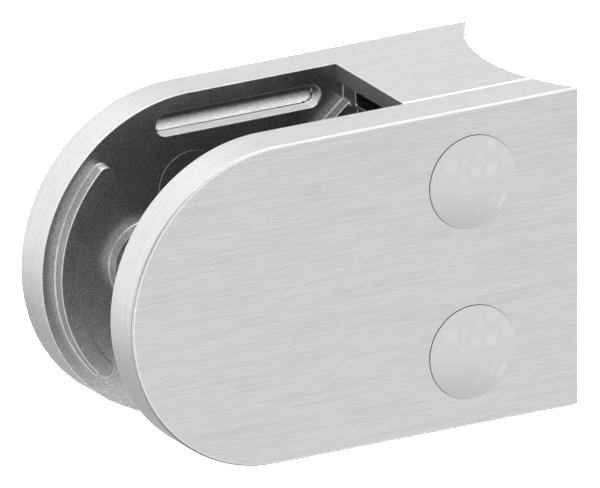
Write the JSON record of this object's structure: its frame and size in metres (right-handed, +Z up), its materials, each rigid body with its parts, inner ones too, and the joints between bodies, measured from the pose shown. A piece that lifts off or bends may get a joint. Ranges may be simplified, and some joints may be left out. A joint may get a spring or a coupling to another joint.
{
  "type": "glass panel clamp",
  "caption": "D-shaped clamp that holds the edge of a glass panel between two plates and screws to a round post through its saddle end.",
  "frame": {"origin": "where the axis of the post screw meets the deepest line of the post saddle, at half height", "axes": "+X points from the round nose towards the post, +Y through the clamp from the cover plate to the back plate, +Z up along the post; the glass lies in the XZ plane"},
  "size_m": [0.0608, 0.0282, 0.04],
  "materials": {
    "satin_steel": "outer faces brushed along the clamp; inner faces as cast and blasted, darker and matt",
    "screw_steel": "plain stainless",
    "polished_steel": "mirror-polished stainless steel"
  },
  "bodies": {
    "root": {"base_body": "satin_steel", "cover_plate": "satin_steel", "cover_screw_upper": "screw_steel", "cover_screw_lower": "screw_steel", "screw_cap_upper": "polished_steel", "screw_cap_lower": "polished_steel"}
  },
  "joints": []
}
